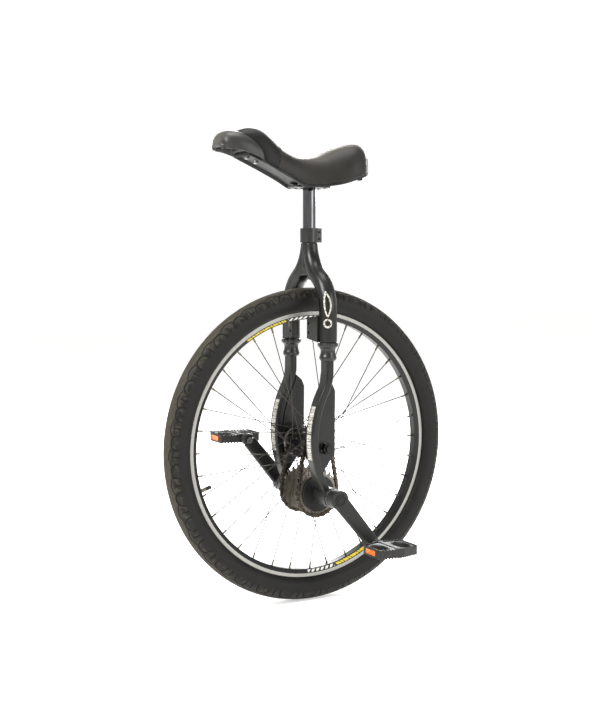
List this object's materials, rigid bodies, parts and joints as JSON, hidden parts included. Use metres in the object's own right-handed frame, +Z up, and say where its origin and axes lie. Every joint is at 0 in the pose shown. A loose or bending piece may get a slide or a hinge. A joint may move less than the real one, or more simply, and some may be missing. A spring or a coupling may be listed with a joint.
{
  "type": "unicycle",
  "caption": "Geared unicycle: one spoked wheel in a two-leg frame, cranks hung below the hub, a chain inside each leg, curved saddle on a clamped post.",
  "frame": {"origin": "the point where the tyre meets the ground, straight under the axle", "axes": "+X the way the rider faces, +Y the rider's left, along the axle, +Z up"},
  "size_m": [0.6714, 0.46, 1.0009],
  "materials": {
    "frame_paint": "satin",
    "black_alloy": "satin",
    "ground_steel": "brushed",
    "black_rubber": "matte",
    "zinc_steel": "satin",
    "black_oxide": "satin",
    "chain_steel": "satin",
    "black_chrome": "polished",
    "base_plastic": "moulded",
    "saddle_vinyl": "grained",
    "handle_rubber": "satin",
    "bumper_plastic": "moulded",
    "anodised_black": "satin",
    "bare_steel": "brushed",
    "spoke_steel": "satin",
    "rim_alloy": "satin",
    "tape": "woven",
    "valve_brass": "satin",
    "cap_plastic": "moulded",
    "tyre_rubber": "matte",
    "cage_steel": "worn",
    "pedal_plastic": "moulded"
  },
  "bodies": {
    "frame": {"seat_tube": "frame_paint", "left_leg_tube": "frame_paint", "right_leg_tube": "frame_paint", "crown_web": "frame_paint", "left_leg_collar": "black_alloy", "right_leg_collar": "black_alloy", "left_lower_leg": "frame_paint", "right_lower_leg": "frame_paint", "left_dropout_plate": "frame_paint", "right_dropout_plate": "frame_paint", "left_brake_mount": "frame_paint", "right_brake_mount": "frame_paint", "left_bearing_shell": "black_alloy", "right_bearing_shell": "black_alloy", "crank_bearings": "ground_steel", "bearing_seals": "black_rubber", "seat_clamp": "black_alloy", "clamp_bolts": "zinc_steel", "hub_axle": "ground_steel", "axle_nuts": "black_oxide", "axle_washers": "zinc_steel", "axle_spacers": "zinc_steel", "left_chain": "chain_steel", "right_chain": "chain_steel"},
    "seat": {"seat_post": "black_chrome", "seat_post_plate": "black_alloy", "saddle_bolts": "zinc_steel", "saddle_base": "base_plastic", "saddle_pad": "saddle_vinyl", "saddle_handle": "handle_rubber", "rear_bumper": "bumper_plastic"},
    "wheel": {"hub_shell": "anodised_black", "hub_bearings": "ground_steel", "left_sprocket": "bare_steel", "right_sprocket": "bare_steel", "sprocket_bolts": "zinc_steel", "spokes": "spoke_steel", "nipples": "spoke_steel", "rim": "rim_alloy", "rim_tape": "tape", "inner_tube": "black_rubber", "valve_stem": "valve_brass", "valve_cap": "cap_plastic", "tyre": "tyre_rubber"},
    "left_crank": {"left_crank_spindle": "ground_steel", "left_chainring": "bare_steel", "left_ring_carrier": "anodised_black", "left_crank_arm": "anodised_black", "left_crank_cap": "black_oxide", "left_pedal_axle": "ground_steel"},
    "left_pedal": {"left_pedal_cage": "cage_steel", "left_pedal_body": "pedal_plastic"},
    "right_crank": {"right_crank_spindle": "ground_steel", "right_chainring": "bare_steel", "right_ring_carrier": "anodised_black", "right_crank_arm": "anodised_black", "right_crank_cap": "black_oxide", "right_pedal_axle": "ground_steel"},
    "right_pedal": {"right_pedal_cage": "cage_steel", "right_pedal_body": "pedal_plastic"}
  },
  "joints": [
    {"name": "seat_height", "type": "slide", "parent": "frame", "child": "seat", "axis": [0, 0, 1], "range_m": [-0.009, 0.025]},
    {"name": "wheel_spin", "type": "hinge", "parent": "frame", "child": "wheel", "pos_m": [0, 0, 0.3358], "axis": [0, 1, 0], "continuous": true, "deforming": ["left_chain", "right_chain"]},
    {"name": "left_crank_spin", "type": "hinge", "parent": "frame", "child": "left_crank", "pos_m": [0, 0, 0.23548], "axis": [0, 1, 0], "continuous": true},
    {"name": "left_pedal_spin", "type": "hinge", "parent": "left_crank", "child": "left_pedal", "pos_m": [-0.08356, 0.19, 0.13589], "axis": [0, 1, 0], "continuous": true},
    {"name": "right_crank_spin", "type": "hinge", "parent": "frame", "child": "right_crank", "pos_m": [0, 0, 0.23548], "axis": [0, 1, 0], "continuous": true},
    {"name": "right_pedal_spin", "type": "hinge", "parent": "right_crank", "child": "right_pedal", "pos_m": [0.08356, -0.19, 0.33506], "axis": [0, 1, 0], "continuous": true}
  ],
  "couplings": [
    {"joint": "left_crank_spin", "follows": "wheel_spin", "ratio": 0.66667},
    {"joint": "right_crank_spin", "follows": "wheel_spin", "ratio": 0.66667}
  ]
}
